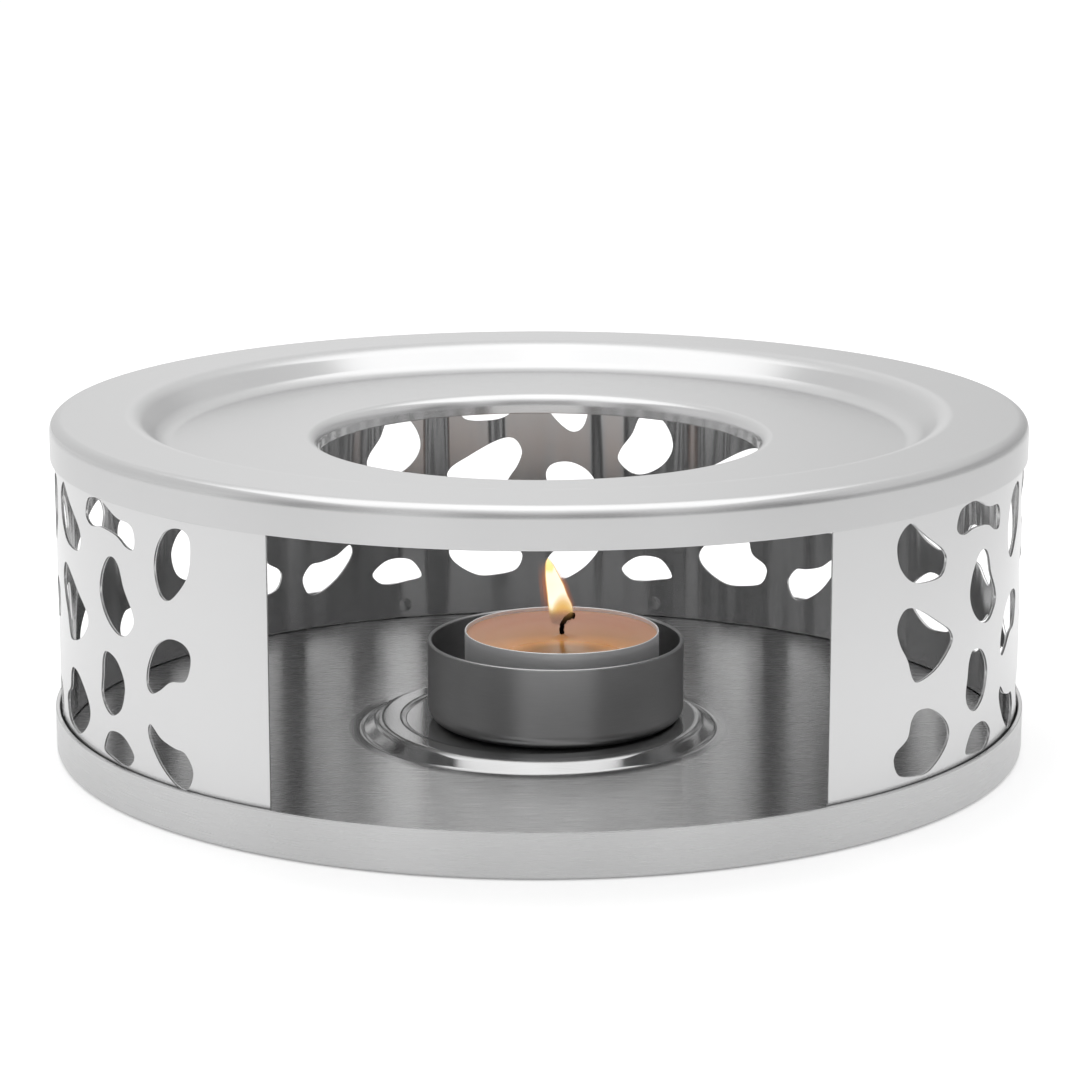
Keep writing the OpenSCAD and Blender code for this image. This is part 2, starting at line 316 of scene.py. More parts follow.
# %% Outline of the strip, with the metal on the left of every loop
def strip_outline(length, low, high, corner=0.8, spacing=1.5):
    def run(a, b):
        count = max(2, int(np.linalg.norm(b - a) / spacing))
        return [a + (b - a) * i / count for i in range(count)]
    loop = []
    ends = [(length - corner, low + corner, -90), (length - corner, high - corner, 0),
            (corner, high - corner, 90), (corner, low + corner, 180)]
    arcs = []
    for x, y, start in ends:
        turns = [math.radians(start + 15 * s) for s in range(7)]
        arcs.append([np.array([x + corner * math.cos(t), y + corner * math.sin(t)]) for t in turns])
    for arc, following in zip(arcs, arcs[1:] + arcs[:1]):
        loop += arc[:-1] + run(arc[-1], following[0])
    return np.array(loop)


def edge_normals(loop):
    along = np.roll(loop, -1, axis=0) - np.roll(loop, 1, axis=0)
    along /= np.linalg.norm(along, axis=1)[:, None]
    return np.stack([along[:, 1], -along[:, 0]], axis=1)


# %% Fill the strip between its outlines
def fill_strip(outline, holes, spacing=2.4, clear=0.9, margin=3):
    loops = [outline] + holes
    points = [tuple(p) for loop in loops for p in loop]
    rings, start = [], 0
    for loop in loops:
        rings.append(list(range(start, start + len(loop))))
        start += len(loop)
    low, high = outline.min(0), outline.max(0)
    xs = np.arange(low[0] + spacing, high[0], spacing)
    ys = np.arange(low[1] + spacing, high[1] - clear, spacing)
    spots = np.array([(x + (spacing / 2 if j % 2 else 0), y) for j, y in enumerate(ys) for x in xs])
    spots = spots[spots[:, 0] < high[0] - clear]
    keep = np.ones(len(spots), bool)
    for hole in holes:
        near = np.where((np.abs(spots - hole.mean(0)) < np.ptp(hole, axis=0) / 2 + margin).all(1))[0]
        gap = np.linalg.norm(spots[near][:, None] - hole[None], axis=2).min(1)
        keep[near[gap < clear]] = False
    points += [tuple(p) for p in spots[keep]]
    filled = delaunay_2d_cdt([Vector(p) for p in points], [], rings, 1, 1e-6)
    flat = np.array([tuple(p) for p in filled[0]])
    triangles = [f for f, owners in zip(filled[2], filled[5]) if list(owners) == [0]]
    origin = {o: i for i, owners in enumerate(filled[3]) for o in owners}
    return flat, triangles, [[origin[i] for i in ring] for ring in rings]


punch_round, foot_gap = 0.1, 0.25
loops = [strip_outline(band_length, band_foot + foot_gap, band_top)] + pebbles
leans = [edge_normals(loop) for loop in loops]
inset = [loop - lean * punch_round for loop, lean in zip(loops, leans)]
flat, triangles, rings = fill_strip(inset[0], inset[1:])
used = sorted({i for t in triangles for i in t})
print("flat strip:", len(used), "points,", len(triangles), "triangles")

# %% [markdown]
# ## Roll the strip
# Rolling turns the distance along the strip into an angle. The outer and inner faces use the same
# triangles, and between them run the walls of the holes, with a round at both edges. A row of such
# a wall has a setback from the edge, a depth in the sheet, and the parts of its normal that point
# sideways and outward.

# %% Roll the pierced band
def rolled(along, height, depth):
    a = opening / 2 + along / band_r
    r = band_r - depth
    return np.stack([r * np.sin(a), -r * np.cos(a), height], axis=-1)


def rolled_normal(along, in_plane, outward):
    a = opening / 2 + along / band_r
    return np.stack([in_plane[:, 0] * np.cos(a) + outward * np.sin(a),
                     in_plane[:, 0] * np.sin(a) - outward * np.cos(a),
                     in_plane[:, 1]], axis=-1)


index = {v: i for i, v in enumerate(used)}
sheet = flat[used]
none = np.zeros_like(sheet)
points = [rolled(sheet[:, 0], sheet[:, 1], 0), rolled(sheet[:, 0], sheet[:, 1], band_t)]
normals = [rolled_normal(sheet[:, 0], none, 1.0), rolled_normal(sheet[:, 0], none, -1.0)]
places = [sheet, sheet]
faces = [[index[i] for i in t] for t in triangles]
faces += [[index[i] + len(used) for i in reversed(t)] for t in triangles]
count = 2 * len(used)
half = math.sqrt(0.5)
hole_wall = [
    (1 - half, punch_round * (1 - half), half, half),
    (0, punch_round, 1, 0),
    (0, band_t - punch_round, 1, 0),
    (1 - half, band_t - punch_round * (1 - half), half, -half),
]
for loop, lean, ring in zip(loops, leans, rings):
    rows = [[index[i] for i in ring]]
    for back, depth, side, out in hole_wall:
        place = loop - lean * punch_round * back
        points.append(rolled(place[:, 0], place[:, 1], depth))
        normals.append(rolled_normal(place[:, 0], lean * side, out))
        places.append(place)
        rows.append(list(range(count, count + len(loop))))
        count += len(loop)
    rows.append([index[i] + len(used) for i in ring])
    for upper, lower in zip(rows, rows[1:]):
        for j in range(len(loop)):
            k = (j + 1) % len(loop)
            faces.append([upper[k], upper[j], lower[j], lower[k]])
places = np.concatenate(places)
band = make_piece("rolled_band", np.concatenate(points), np.concatenate(normals), faces,
                  [places[i] for f in faces for i in f])
# The inner faces take the second finish, which is painted darker as shade inside the warmer.
inside = np.zeros(len(faces), np.int32)
inside[len(triangles):2 * len(triangles)] = 1
band.data.polygons.foreach_set("material_index", inside)

# %% [markdown]
# ## Spot welds
# Two copper electrodes squeeze the sheets and melt a spot between them. What shows is a shallow
# round print on the inside of the band, with a slightly raised ring. Each spot is spun like a
# small button and then turned to face the middle of the warmer.

# %% Spot welds at the foot and the top of the band
def weld_prints(name, height, gap, first=41.0, pitch=40.5, per_side=4, radius=1.5):
    """The section has radii, depths under the band's outer face and how far each normal points in."""
    section = [(0.0, -gap, -1), (radius, -gap, -1), (radius, band_t, 0),
               (radius * 0.97, band_t + 0.015, 0.9), (radius * 0.86, band_t + 0.02, 1),
               (radius * 0.74, band_t + 0.012, 0.99), (0.0, band_t + 0.01, 1)]
    around = 36
    points, normals, faces, brush = [], [], [], []
    for side in (-1, 1):
        for k in range(per_side):
            a = side * math.radians(first + k * pitch)
            out = np.array([math.sin(a), -math.cos(a), 0])
            across = np.array([math.cos(a), math.sin(a), 0])
            up = np.array([0, 0, 1.0])
            rows = []
            for r, depth, face in section:
                if r == 0:
                    rows.append([len(points)] * around)
                    points.append(out * (band_r - depth) + up * height)
                    normals.append(-out * face)
                    continue
                rows.append(list(range(len(points), len(points) + around)))
                for j in range(around):
                    t = 2 * math.pi * j / around
                    ray = across * math.cos(t) + up * math.sin(t)
                    points.append(out * (band_r - depth) + up * height + ray * r)
                    n = -out * face + ray * math.sqrt(max(0, 1 - face * face))
                    normals.append(n / np.linalg.norm(n))
            for upper, lower in zip(rows, rows[1:]):
                for j in range(around):
                    ids = [upper[j], upper[(j + 1) % around], lower[(j + 1) % around], lower[j]]
                    ids = [q for i, q in enumerate(ids) if q != ids[i - 1]]
                    faces.append(ids[::-1])
                    brush += [(points[q] @ across, points[q][2]) for q in ids[::-1]]
    return make_piece(name, points, normals, faces, brush)


foot_welds = weld_prints("foot_weld_prints", height=band_foot + 3.0, gap=0.35)
top_welds = weld_prints("top_weld_prints", height=band_top - 2.4, gap=0.15)

# %% [markdown]
# ## The candle cup and the tealight's can
# Both are deep-drawn cups: a flat floor, a rounded edge and an upright wall. The cup is thick
# dark steel and the can is thin aluminium. They are loose, and stand a little to the right.

# %% Draw the cup and the can
cup_x, cup_z = 3.2, tray_t + boss_h - cup_seat_depth
cup_r, cup_h, cup_t, cup_bend, cup_ease = 24.8, 15.9, 0.8, 3.0, 0.38
can_x, can_z = 4.4, cup_z + cup_t
can_r, can_h, can_t, can_bend, can_ease = 18.8, 16.7, 0.3, 1.0, 0.14

candle_cup = spin("drawn_cup", sheet_section([
    (0, cup_z, 0),
    (cup_r, cup_z, cup_bend),
    (cup_r, cup_z + cup_h, 0),
], cup_t, cup_ease), centre=(cup_x, 0), around=192)
tealight_can = spin("drawn_can", sheet_section([
    (0, can_z, 0),
    (can_r, can_z, can_bend),
    (can_r, can_z + can_h, 0),
], can_t, can_ease), centre=(can_x, 0), around=192)

# %% [markdown]
# ## Wax
# Round the flame the wax has melted into a shallow pool. It creeps up the can's wall and up the
# wick, so its top is drawn as a gentle curve and not as a flat disc.

# %% Pour the wax
wax_foot, wax_top, wax_r = can_z + can_t + 0.05, 18.8, can_r - can_t - 0.04


def wax_height(r):
    """It creeps 0.45 mm up the can and 0.55 mm up the wick, and the pool lies 0.28 mm lower."""
    wall = 0.45 * math.exp(-((wax_r - r) / 0.8))
    wick = 0.55 * math.exp(-((r - 0.5) / 0.7))
    pool = -0.28 / (1 + math.exp((r - 14.0) / 0.6))
    return wax_top + wall + wick + pool


wax_rings = np.concatenate([
    np.linspace(wax_r, wax_r - 2, 14),
    np.linspace(wax_r - 2.4, 2.6, 34),
    np.linspace(2.4, 0.0, 14),
])
down, outward = np.array([0, -1.0]), np.array([1.0, 0])
wax_section = [
    (np.array([0.0, wax_foot]), down),
    (np.array([wax_r - can_bend, wax_foot]), down),
    (np.array([wax_r, wax_foot + can_bend]), outward),
]
nudge = 0.01
for r in wax_rings:
    slope = (wax_height(r + nudge) - wax_height(r - nudge)) / (2 * nudge)
    lean = np.array([-slope, 1.0]) / math.hypot(slope, 1)
    wax_section.append((np.array([max(r, 0.0), wax_height(max(r, 0.0))]), lean))
wax = spin("poured_wax", wax_section, centre=(can_x, 0), around=144)

# %% [markdown]
# ## Wick
# A wick is a braid of cotton. The burnt end curls over and swells into a crumbly tip. A curve with
# a round bevel would be quick, but three strands twisted round the path show that it is a braid.

# %% Braid the wick
curl_z, curl_r, wick_r, wick_foot = 20.2, 2.6, 0.43, can_z + can_t + 0.3
tip_start = 0.985


def wick_path(s):
    """Point and direction at s from 0, the foot, to 1, the tip."""
    straight, bend = curl_z - wick_foot, curl_r * math.pi / 2
    d = s * (straight + bend)
    if d <= straight:
        return np.array([can_x, 0, wick_foot + d]), np.array([0, 0, 1.0])
    a = (d - straight) / curl_r
    return (np.array([can_x + curl_r * (1 - math.cos(a)), 0, curl_z + curl_r * math.sin(a)]),
            np.array([math.sin(a), 0, math.cos(a)]))


def braided(name, rings=150, around=30):
    """Three strands and finer threads, twisted, that swell near the tip and end in a round."""
    points, normals, faces, rows = [], [], [], []
    for i in range(rings + 1):
        s = i / rings
        middle, along = wick_path(s)
        side = np.array([0, 1.0, 0])
        over = np.cross(side, along)
        swell = 1 + 0.42 * math.exp(-((s - 0.97) / 0.05) ** 2)
        past = max(0.0, s - tip_start) / 0.016
        ends = math.sqrt(max(0.0, 1 - past ** 2))
        row = []
        for j in range(around):
            t = 2 * math.pi * j / around
            strand = 0.07 * math.cos(3 * (t - 38 * s)) + 0.03 * math.sin(7 * t + 61 * s)
            r = max(0.02, (wick_r + strand) * swell * ends)
            out = side * math.cos(t) + over * math.sin(t)
            row.append(len(points))
            points.append(middle + out * r)
            normals.append(out)
        rows.append(row)
    for lower, upper in zip(rows, rows[1:]):
        for j in range(around):
            k = (j + 1) % around
            faces.append([lower[j], lower[k], upper[k], upper[j]])
    faces += [rows[0][::-1], rows[-1]]
    brush = [(points[i][0], points[i][2]) for f in faces for i in f]
    return make_piece(name, points, normals, faces, brush)


wick = braided("braided_wick")

# %% [markdown]
# ## Flame
# The flame is light, not a solid, so it has no CAD solid. It rides with the tealight. A volume
# that glows would do, but it is slow and does not leave Blender. Closed shells do both: a bright
# core, a thin golden skin, and two orange veils round it that let the background through.

# %% Shape the flame
def flame_shell(name, outline, around=48):
    """outline: (height, middle in x, half width) from the foot to the tip."""
    rows, points, normals, faces = [], [], [], []
    keys = np.array(outline, float)
    heights = np.linspace(keys[0, 0], keys[-1, 0], 60)
    middles = np.interp(heights, keys[:, 0], keys[:, 1])
    widths = np.interp(heights, keys[:, 0], keys[:, 2])
    for _ in range(3):
        middles[1:-1] = (middles[:-2] + 2 * middles[1:-1] + middles[2:]) / 4
        widths[1:-1] = (widths[:-2] + 2 * widths[1:-1] + widths[2:]) / 4
    for z, x, w in zip(heights, middles, widths):
        row = []
        for j in range(around):
            t = 2 * math.pi * j / around
            row.append(len(points))
            points.append((x + w * math.cos(t), 0.9 * w * math.sin(t), z))
            normals.append((math.cos(t), math.sin(t), 0))
        rows.append(row)
    for lower, upper in zip(rows, rows[1:]):
        for j in range(around):
            k = (j + 1) % around
            faces.append([lower[j], lower[k], upper[k], upper[j]])
    faces += [rows[0][::-1], rows[-1]]
    brush = [(points[i][0], points[i][2]) for f in faces for i in f]
    return make_piece(name, points, normals, faces, brush)


flame_foot, flame_middle, flame_tip = 20.6, 28.0, 34.2
flame_half, flame_point = 6.0, 0.05
flame_outline = [
    (flame_foot, 4.1, flame_point), (20.8, 4.1, 1.7), (21.8, 4.2, 2.2), (22.8, 4.25, 2.42),
    (23.5, 4.25, 2.48), (24.9, 4.05, 2.38), (26.9, 3.5, 2.02), (28.9, 3.05, 1.8),
    (30.8, 2.5, 1.4), (32.8, 2.0, 0.88), (33.8, 1.77, 0.46), (flame_tip, 1.7, flame_point),
]


def up_flame(z):
    """0 at the foot of the flame and 1 at its tip, from a height in millimetres."""
    return (z - flame_foot) / (flame_tip - flame_foot)


def grown(outline, grow, rise, drift):
    """A copy that is wider by grow, taller by rise and moved left by drift; its ends stay pointed."""
    copy = []
    for z, x, w in outline:
        width = w if w == flame_point else max(flame_point, w + grow)
        copy.append((z + rise * (z - flame_middle) / flame_half, x - drift, width))
    return copy


flame_core = flame_shell("flame_core", grown(flame_outline, -0.2, -0.15, 0.0))
flame_skin = flame_shell("flame_skin", flame_outline)
flame_veils = [flame_shell("flame_veil_1", grown(flame_outline, 0.45, 0.2, 0.12)),
               flame_shell("flame_veil_2", grown(flame_outline, 1.0, 0.45, 0.25))]

# %% [markdown]
# ## Brushed steel
# Brushing leaves fine parallel scratches. They spread a reflection across the scratches and hardly
# at all along them, so the metal is given anisotropy, turned a quarter because the UV map's U runs
# along the scratches. A noise stretched along U adds the scratches themselves: a little lighter and
# darker, a little smoother and rougher, and about a thousandth of a millimetre high and low. The
# press irons the boss of the tray smoother, and there the colour is darkened as painted shade round
# the foot of the cup. The inside of the band is painted darker than the outside as shade inside the
# warmer, and shows soft waves from the rolls.

# %% Node helpers
def new_finish(name):
    finish = bpy.data.materials.new(name)
    finish.use_nodes = True
    tree = finish.node_tree
    return finish, tree, tree.nodes["Principled BSDF"]


def brushed_noise(tree, along, across, detail=3.0):
    """Noise stretched along the brushing: marks of about these sizes, in millimetres."""
    place = tree.nodes.new("ShaderNodeUVMap")
    place.uv_map = "brush"
    stretch = tree.nodes.new("ShaderNodeMapping")
    stretch.inputs["Scale"].default_value = (1000 / along, 1000 / across, 1)
    noise = tree.nodes.new("ShaderNodeTexNoise")
    noise.inputs["Scale"].default_value = 1.0
    noise.inputs["Detail"].default_value = detail
    tree.links.new(place.outputs["UV"], stretch.inputs["Vector"])
    tree.links.new(stretch.outputs["Vector"], noise.inputs["Vector"])
    return noise.outputs["Fac"]


def spread(tree, value, low, high, start=0.3, end=0.7):
    step = tree.nodes.new("ShaderNodeMapRange")
    for socket, number in zip(("From Min", "From Max", "To Min", "To Max"), (start, end, low, high)):
        step.inputs[socket].default_value = number
    tree.links.new(value, step.inputs["Value"])
    return step.outputs["Result"]


def tinted(tree, value, stops):
    ramp = tree.nodes.new("ShaderNodeValToRGB")
    while len(ramp.color_ramp.elements) < len(stops):
        ramp.color_ramp.elements.new(0.5)
    for element, (place, colour) in zip(ramp.color_ramp.elements, stops):
        element.position = place
        element.color = (*colour, 1.0)
    tree.links.new(value, ramp.inputs["Fac"])
    return ramp.outputs["Color"]


def raised(tree, bsdf, value, height):
    bump = tree.nodes.new("ShaderNodeBump")
    bump.inputs["Strength"].default_value = 1.0
    bump.inputs["Distance"].default_value = height * MM
    tree.links.new(value, bump.inputs["Height"])
    tree.links.new(bump.outputs["Normal"], bsdf.inputs["Normal"])


def distance_from(tree, middle, reach):
    """1 at a place on the brushing map, 0 at its reach and beyond; all in millimetres."""
    place = tree.nodes.new("ShaderNodeUVMap")
    place.uv_map = "brush"
    shape = tree.nodes.new("ShaderNodeMapping")
    shape.inputs["Location"].default_value = (-middle[0] / reach[0], -middle[1] / reach[1], 0)
    shape.inputs["Scale"].default_value = (1000 / reach[0], 1000 / reach[1], 1)
    length = tree.nodes.new("ShaderNodeVectorMath")
    length.operation = "LENGTH"
    tree.links.new(place.outputs["UV"], shape.inputs["Vector"])
    tree.links.new(shape.outputs["Vector"], length.inputs[0])
    return spread(tree, length.outputs["Value"], 1.0, 0.0, 0.0, 1.0)


# %% Brushed metal
# The first number smooths the boss. The second darkens its colour as painted shade round the cup.
ironed_polish, boss_painted_shade = 0.5, 0.78


def brushed_metal(name, dark, light, smooth, rough, pull, along=7.0, across=0.16, height=0.0012, edge=0.95,
                  waves=0.0, ironed_and_shaded=0.0):
    """dark and light, smooth and rough: the ends between which the scratches vary. pull: how far
    brushing stretches a reflection. along, across, height: size of a scratch in millimetres.
    edge: how light the metal is at a grazing angle. waves: height of the waves from the rolls.
    ironed_and_shaded: radius of the part in the middle that the press has smoothed, and where the colour is
    darkened as painted shade round the cup."""
    finish, tree, bsdf = new_finish(name)
    scratches = brushed_noise(tree, along, across)
    colour = tinted(tree, scratches, [(0.3, dark), (0.7, light)])
    dull = spread(tree, scratches, smooth, rough)
    if ironed_and_shaded:
        inside = spread(tree, distance_from(tree, (0, 0), (2 * ironed_and_shaded, 2 * ironed_and_shaded)), 0.0, 1.0, 0.47, 0.5)
        polish = tree.nodes.new("ShaderNodeMath")
        polish.operation = "MULTIPLY"
        tree.links.new(dull, polish.inputs[0])
        tree.links.new(spread(tree, inside, 1.0, ironed_polish, 0.0, 1.0), polish.inputs[1])
        dull = polish.outputs["Value"]
        # Inside the boss the colour is multiplied darker: painted shade round the foot of the cup.
        # The mix node keeps one set of sockets for each kind of value: 6, 7 and 2 are its colours.
        painted_shade_mix = tree.nodes.new("ShaderNodeMix")
        painted_shade_mix.data_type, painted_shade_mix.blend_type = "RGBA", "MULTIPLY"
        tree.links.new(inside, painted_shade_mix.inputs["Factor"])
        tree.links.new(colour, painted_shade_mix.inputs[6])
        painted_shade_mix.inputs[7].default_value = (boss_painted_shade, boss_painted_shade, boss_painted_shade, 1)
        colour = painted_shade_mix.outputs[2]
    tree.links.new(colour, bsdf.inputs["Base Color"])
    tree.links.new(dull, bsdf.inputs["Roughness"])
    if waves:
        bends = brushed_noise(tree, along=11.0, across=160.0, detail=1.0)
        both = tree.nodes.new("ShaderNodeMath")
        both.operation = "MULTIPLY_ADD"
        both.inputs[1].default_value = waves / height
        tree.links.new(bends, both.inputs[0])
        tree.links.new(scratches, both.inputs[2])
        raised(tree, bsdf, both.outputs["Value"], height)
    else:
        raised(tree, bsdf, scratches, height)
    lines = tree.nodes.new("ShaderNodeTangent")
    lines.direction_type = "UV_MAP"
    lines.uv_map = "brush"
    tree.links.new(lines.outputs["Tangent"], bsdf.inputs["Tangent"])
    bsdf.inputs["Metallic"].default_value = 1.0
    bsdf.inputs["Specular Tint"].default_value = (edge, edge, edge, 1)
    bsdf.inputs["Anisotropic"].default_value = pull
    bsdf.inputs["Anisotropic Rotation"].default_value = 0.25
    return finish


plate_steel = brushed_metal("plate_steel", (0.635, 0.635, 0.637), (0.66, 0.66, 0.662), 0.22, 0.26, 0.80,
                            height=0.0006, edge=0.88)
tray_steel = brushed_metal("tray_steel", (0.61, 0.61, 0.612), (0.68, 0.68, 0.682), 0.22, 0.29, 1.0,
                           along=9.0, across=0.13, height=0.0014, ironed_and_shaded=boss_foot_r + 1)
band_steel = brushed_metal("band_steel", (0.69, 0.69, 0.692), (0.72, 0.72, 0.722), 0.20, 0.24, 0.85)
# The same steel on the inner face, painted darker: painted shade inside the warmer.
band_inside_painted_shade = brushed_metal("band_inside_painted_shade", (0.48, 0.48, 0.482), (0.50, 0.50, 0.502), 0.16, 0.18, 0.93,
                            height=0.0002, waves=2.0)
weld_steel = brushed_metal("weld_steel", (0.44, 0.44, 0.44), (0.50, 0.50, 0.50), 0.18, 0.24, 0.0,
                           along=2.0, across=1.0, height=0.002)
dark_steel = brushed_metal("dark_steel", (0.45, 0.45, 0.453), (0.49, 0.49, 0.493), 0.34, 0.40, 0.2,
                           along=5.0, across=0.12, edge=0.50)
aluminium = brushed_metal("can_aluminium", (0.90, 0.90, 0.905), (0.95, 0.95, 0.955), 0.56, 0.66, 0.0)
tin = brushed_metal("tin_foot", (0.52, 0.52, 0.52), (0.64, 0.64, 0.64), 0.25, 0.35, 0.0,
                    along=3.0, across=1.0)
metals = [plate_steel, tray_steel, band_steel, band_inside_painted_shade, weld_steel, dark_steel, aluminium, tin]
print("metals:", ", ".join(metal.name for metal in metals))

# %% [markdown]
# ## Finish of the wax
# Wax lets light in and scatters it, so it takes subsurface scattering. A plain matte colour would
# look like plaster. The melted pool is smoother and golden and the cooler rim is paler and rougher,
# so colour and roughness both follow the distance from the pool, which lies in front of the wick.
# A brighter orange band round the edge of the pool is painted glow from the flame.

# %% Wax
wax_finish, tree, bsdf = new_finish("candle_wax")
pool_and_glow = distance_from(tree, (0.0, -12.0), (30.0, 24.0))
wax_colour = tinted(tree, pool_and_glow, [
    (0.0, (0.58, 0.305, 0.21)),
    (0.40, (0.55, 0.285, 0.15)),
    # This brighter orange stop is painted glow from the flame in the wax.
    (0.66, (0.76, 0.35, 0.115)),
    (0.80, (0.44, 0.21, 0.07)),
    (1.0, (0.32, 0.155, 0.045)),
])
tree.links.new(wax_colour, bsdf.inputs["Base Color"])
tree.links.new(spread(tree, pool_and_glow, 0.38, 0.20, 0.4, 0.8), bsdf.inputs["Roughness"])
bsdf.inputs["Subsurface Weight"].default_value = 0.5
bsdf.inputs["Subsurface Radius"].default_value = (1.0, 0.5, 0.3)
bsdf.inputs["Subsurface Scale"].default_value = 0.002
print("finish:", wax_finish.name)

# %% [markdown]
# ## Finish of the wick
# Burnt cotton is nearly black, dull and crumbly. Painting it would take an image, and at this size
# one fine noise is enough: it makes the browns uneven, and raises and lowers the surface.

# %% Wick
wick_finish, tree, bsdf = new_finish("wick_cotton")
char = brushed_noise(tree, 0.5, 0.5)
char_colour = tinted(tree, char, [(0.3, (0.02, 0.012, 0.006)), (0.75, (0.07, 0.038, 0.018))])
tree.links.new(char_colour, bsdf.inputs["Base Color"])
tree.links.new(spread(tree, char, 0.7, 0.95), bsdf.inputs["Roughness"])
raised(tree, bsdf, char, 0.1)
print("finish:", wick_finish.name)

# %% [markdown]
# ## Finish of the flame
# A flame has no surface to light. Its colours run up its height: dim brown over the wick, white in
# the middle and orange at the tip, and near the wick it is almost clear. So each shell gives off
# light and takes its colour, and how much it hides, from the height in millimetres.

# %% Flame
flame_sides, flame_arch = (2.5, 6.5), 0.04


def flame_finish(name, stops, strength, cover):
    """stops: heights and colours; cover: heights and how much the flame hides there. The colours
    hang lower at both sides of the flame than in its middle."""
    finish, tree, bsdf = new_finish(name)
    place = tree.nodes.new("ShaderNodeUVMap")
    place.uv_map = "brush"
    split = tree.nodes.new("ShaderNodeSeparateXYZ")
    tree.links.new(place.outputs["UV"], split.inputs[0])
    height = spread(tree, split.outputs["Y"], 0.0, 1.0, flame_foot * MM, flame_tip * MM)
    aside = spread(tree, split.outputs["X"], -2.0, 2.0, flame_sides[0] * MM, flame_sides[1] * MM)
    arch = tree.nodes.new("ShaderNodeMath")
    arch.operation = "MULTIPLY"
    tree.links.new(aside, arch.inputs[0])
    tree.links.new(aside, arch.inputs[1])
    arched = tree.nodes.new("ShaderNodeMath")
    arched.operation = "MULTIPLY_ADD"
    arched.inputs[1].default_value = flame_arch
    tree.links.new(arch.outputs["Value"], arched.inputs[0])
    tree.links.new(height, arched.inputs[2])
    glow = tinted(tree, arched.outputs["Value"], [(up_flame(z), c) for z, c in stops])
    tree.links.new(glow, bsdf.inputs["Emission Color"])
    hiding = tinted(tree, height, [(up_flame(z), (c, c, c)) for z, c in cover])
    tree.links.new(hiding, bsdf.inputs["Alpha"])
    bsdf.inputs["Base Color"].default_value = (0.0, 0.0, 0.0, 1)
    bsdf.inputs["Specular IOR Level"].default_value = 0.0
    bsdf.inputs["Emission Strength"].default_value = strength
    return finish


# %% Colours of the flame's shells
core_finish = flame_finish("flame_core", [
    (21.0, (0.28, 0.14, 0.06)),
    (23.9, (0.36, 0.19, 0.068)),
    (25.1, (0.435, 0.29, 0.09)),
    (26.0, (0.48, 0.40, 0.21)),
    (27.7, (1.0, 0.97, 0.88)),
    (33.4, (1.0, 0.95, 0.72)),
    (34.2, (1.0, 0.62, 0.25)),
], 2.1, [(21.2, 0.0), (22.6, 0.03), (23.3, 0.11), (24.0, 0.48), (24.6, 0.88), (25.0, 1.0)])
skin_finish = flame_finish("flame_skin", [
    (21.0, (0.45, 0.21, 0.09)),
    (25.8, (0.85, 0.50, 0.16)),
    (34.2, (1.0, 0.62, 0.22)),
], 1.0, [(21.2, 0.0), (22.6, 0.025), (23.6, 0.08), (25.2, 0.45), (33.0, 0.45), (34.2, 0.2)])
veil_finishes = []
for k, cover in enumerate((0.14, 0.08)):
    veil_finishes.append(flame_finish(f"flame_veil_{k + 1}", [
        (21.0, (0.6, 0.16, 0.06)),
        (34.2, (0.75, 0.22, 0.07)),
    ], 1.0, [(23.0, 0.0), (27.0, cover), (29.4, cover), (33.6, 0.0)]))
print("flame:", core_finish.name, skin_finish.name, *(veil.name for veil in veil_finishes))

# %% [markdown]
# ## Put each piece on its body
# A piece moves with the body that it belongs to, takes the place of its plain solid, and takes its
# finish. The wick's foot stays a plain solid with a finish, because it is hidden in the wax.

# %% Dress the bodies
dress = [
    (base_tray, "warmer", "base_tray", tray_steel),
    (band, "warmer", "side_band", band_steel),
    (top_plate, "warmer", "top_plate", plate_steel),
    (foot_welds, "warmer", "base_spot_welds", weld_steel),
    (top_welds, "warmer", "top_spot_welds", weld_steel),
    (candle_cup, "cup", "candle_cup", dark_steel),
    (tealight_can, "tealight", "tealight_can", aluminium),
    (wax, "tealight", "tealight_wax", wax_finish),
    (wick, "tealight", "wick", wick_finish),
]
for piece, body, node, finish in dress:
    piece.data.materials.append(finish)
    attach(piece, body)
    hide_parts(node)
band.data.materials.append(band_inside_painted_shade)
for piece, finish in zip([flame_core, flame_skin] + flame_veils, [core_finish, skin_finish] + veil_finishes):
    piece.data.materials.append(finish)
    piece.visible_glossy = False
    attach(piece, "tealight")
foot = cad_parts["wick_sustainer"]
foot.data.materials.clear()
foot.data.materials.append(tin)
print(len(dress), "pieces stand for solids, and the flame is added")

# %% [markdown]
# ## Floor
# The warmer stands on a white table that runs out of sight. A plain square would do, but a round
# floor has no corner that could show in the steel. The floor glows a little for the camera and for
# the metal, so that it is white without more light on the steel, and the shadow stays. Far out to
# the sides the metal sees less of that glow, which dims both ends of the skirt.

# %% Floor
floor_rings, floor_sides = (300, 900, 6000), 96
turns = np.linspace(0, 2 * math.pi, floor_sides, endpoint=False)
floor_points = [(r * math.cos(a), r * math.sin(a), 0.0) for r in floor_rings for a in turns]
floor_faces = [list(range(floor_sides))]
for ring in range(len(floor_rings) - 1):
    near, far = ring * floor_sides, (ring + 1) * floor_sides
    for j in range(floor_sides):
        k = (j + 1) % floor_sides
        floor_faces.append([near + j, far + j, far + k, near + k])
floor = make_piece("white_floor", floor_points, [(0, 0, 1)] * len(floor_points), floor_faces,
                   [floor_points[i][:2] for f in floor_faces for i in f])


# %% Finish of the floor
def greys(*stops):
    return [(place, (grey, grey, grey)) for place, grey in stops]


